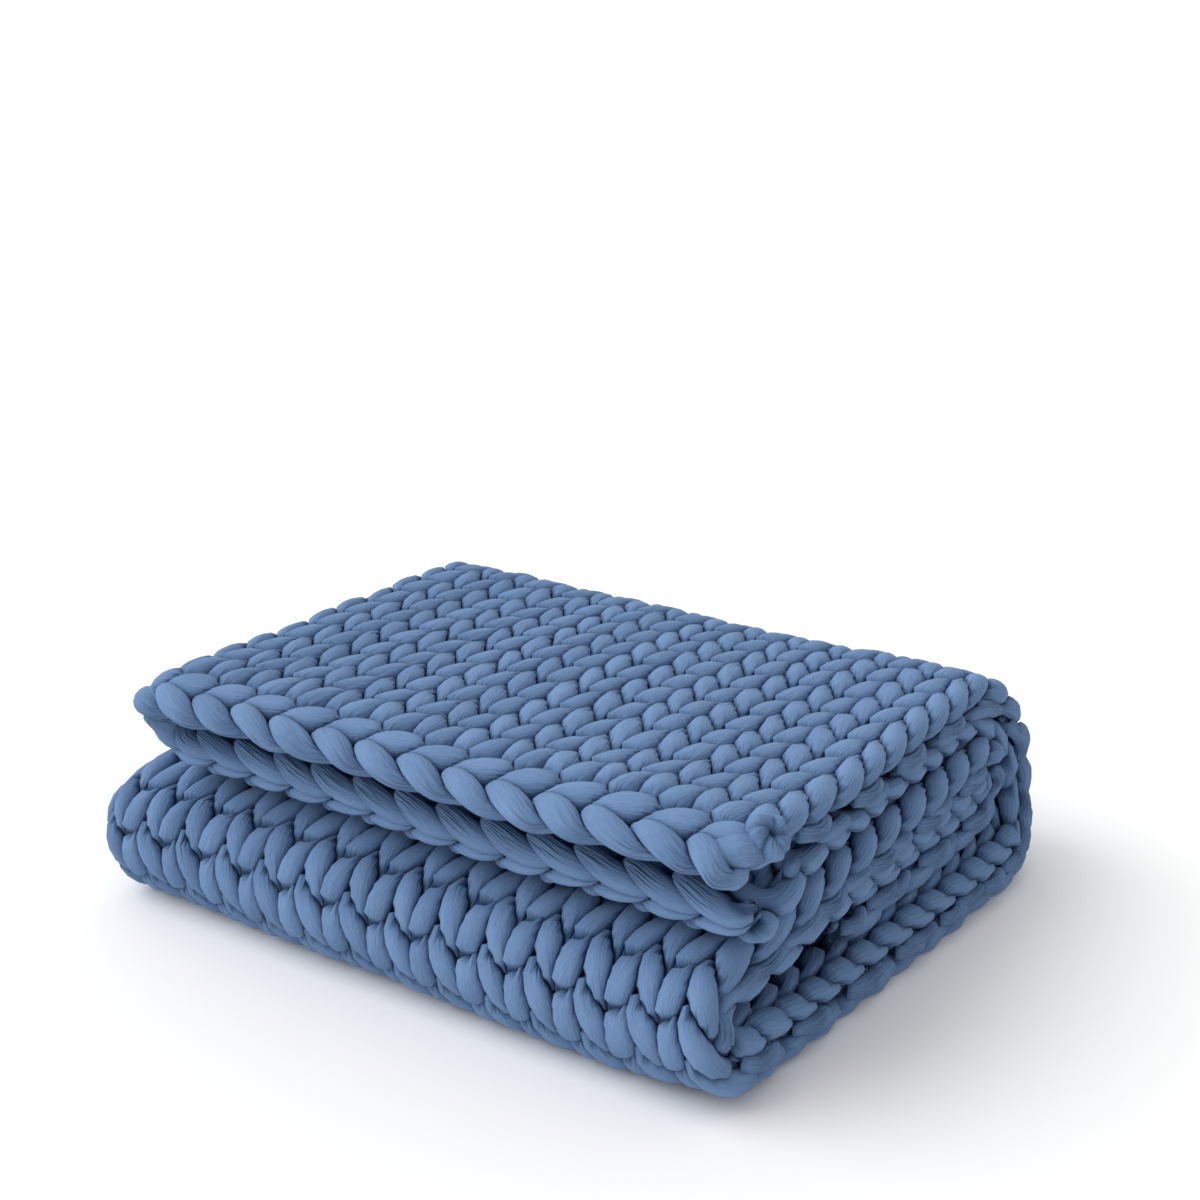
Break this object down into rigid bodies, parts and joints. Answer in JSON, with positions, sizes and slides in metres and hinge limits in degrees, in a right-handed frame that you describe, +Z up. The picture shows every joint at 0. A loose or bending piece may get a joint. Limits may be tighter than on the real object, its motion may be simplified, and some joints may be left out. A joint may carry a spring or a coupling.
{
  "type": "folded chunky knit weighted blanket",
  "caption": "Chunky hand-knitted weighted blanket of thick blue-grey jersey tube yarn, folded into a neat pile for a shelf or the foot of a bed.",
  "frame": {"origin": "middle of the footprint, on the surface that the folded blanket lies on", "axes": "+X to the right along the front edge, -Y to the front where the bind-off edge lies, +Z up"},
  "size_m": [0.6664, 0.5468, 0.2241],
  "materials": {
    "yarn": "matte cotton jersey"
  },
  "bodies": {
    "root": {"knit_blanket": "yarn"}
  },
  "joints": []
}
